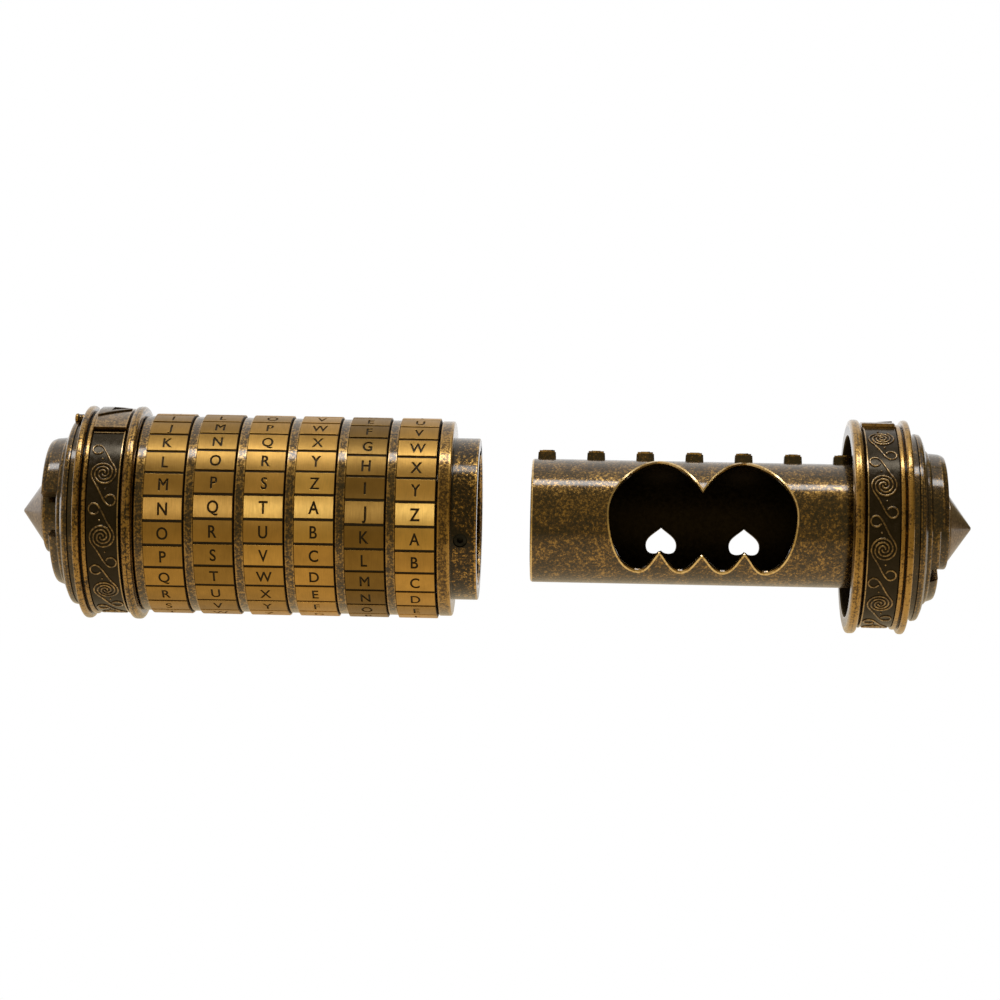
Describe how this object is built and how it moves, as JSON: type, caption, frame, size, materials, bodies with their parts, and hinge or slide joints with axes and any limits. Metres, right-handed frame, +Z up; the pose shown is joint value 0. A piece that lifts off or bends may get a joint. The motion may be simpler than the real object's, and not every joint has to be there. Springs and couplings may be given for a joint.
{
  "type": "cryptex",
  "caption": "Letter-lock cryptex laid open: a lettered barrel and the keyed vault tube that slides out of it.",
  "frame": {"origin": "centre of the bounding box's base: on the resting surface, midway between the two cone tips", "axes": "+X along the axis from the barrel to the vault, +Z up, -Y the front"},
  "size_m": [0.2228, 0.0498, 0.0499],
  "materials": {
    "antique_bronze": "speckled antique bronze, satin",
    "brushed_gold": "brushed, with black filled letters",
    "black_bronze": "blackened, satin",
    "worn_bronze": "worn satin bronze",
    "satin_bronze": "smooth satin bronze",
    "black_steel": "black oxide"
  },
  "bodies": {
    "barrel": {"left_cap": "antique_bronze", "left_cone": "satin_bronze", "left_scroll_band": "black_bronze", "left_index_plate": "worn_bronze", "left_index_pin": "antique_bronze", "slotted_sleeve": "antique_bronze", "end_collar": "antique_bronze", "collar_grub_screw": "black_steel"},
    "ring_1": {"code_ring_1": "antique_bronze", "letter_ring_1": "brushed_gold"},
    "ring_2": {"code_ring_2": "antique_bronze", "letter_ring_2": "brushed_gold"},
    "ring_3": {"code_ring_3": "antique_bronze", "letter_ring_3": "brushed_gold"},
    "ring_4": {"code_ring_4": "antique_bronze", "letter_ring_4": "brushed_gold"},
    "ring_5": {"code_ring_5": "antique_bronze", "letter_ring_5": "brushed_gold"},
    "ring_6": {"code_ring_6": "antique_bronze", "letter_ring_6": "brushed_gold"},
    "vault": {"vault_tube": "antique_bronze", "vault_lug_1": "antique_bronze", "vault_lug_2": "antique_bronze", "vault_lug_3": "antique_bronze", "vault_lug_4": "antique_bronze", "vault_lug_5": "antique_bronze", "vault_lug_6": "antique_bronze", "vault_lug_7": "antique_bronze", "right_cap": "antique_bronze", "right_cone": "satin_bronze", "right_scroll_band": "black_bronze", "right_index_plate": "worn_bronze"}
  },
  "joints": [
    {"name": "vault_slide", "type": "slide", "parent": "barrel", "child": "vault", "axis": [1, 0, 0], "range_m": [-0.0916, 0]},
    {"name": "ring_1_turn", "type": "hinge", "parent": "barrel", "child": "ring_1", "pos_m": [-0.0763, 0, 0.02491], "axis": [1, 0, 0], "continuous": true},
    {"name": "ring_2_turn", "type": "hinge", "parent": "barrel", "child": "ring_2", "pos_m": [-0.06474, 0, 0.02491], "axis": [1, 0, 0], "continuous": true},
    {"name": "ring_3_turn", "type": "hinge", "parent": "barrel", "child": "ring_3", "pos_m": [-0.05318, 0, 0.02491], "axis": [1, 0, 0], "continuous": true},
    {"name": "ring_4_turn", "type": "hinge", "parent": "barrel", "child": "ring_4", "pos_m": [-0.04162, 0, 0.02491], "axis": [1, 0, 0], "continuous": true},
    {"name": "ring_5_turn", "type": "hinge", "parent": "barrel", "child": "ring_5", "pos_m": [-0.03006, 0, 0.02491], "axis": [1, 0, 0], "continuous": true},
    {"name": "ring_6_turn", "type": "hinge", "parent": "barrel", "child": "ring_6", "pos_m": [-0.0185, 0, 0.02491], "axis": [1, 0, 0], "continuous": true}
  ]
}
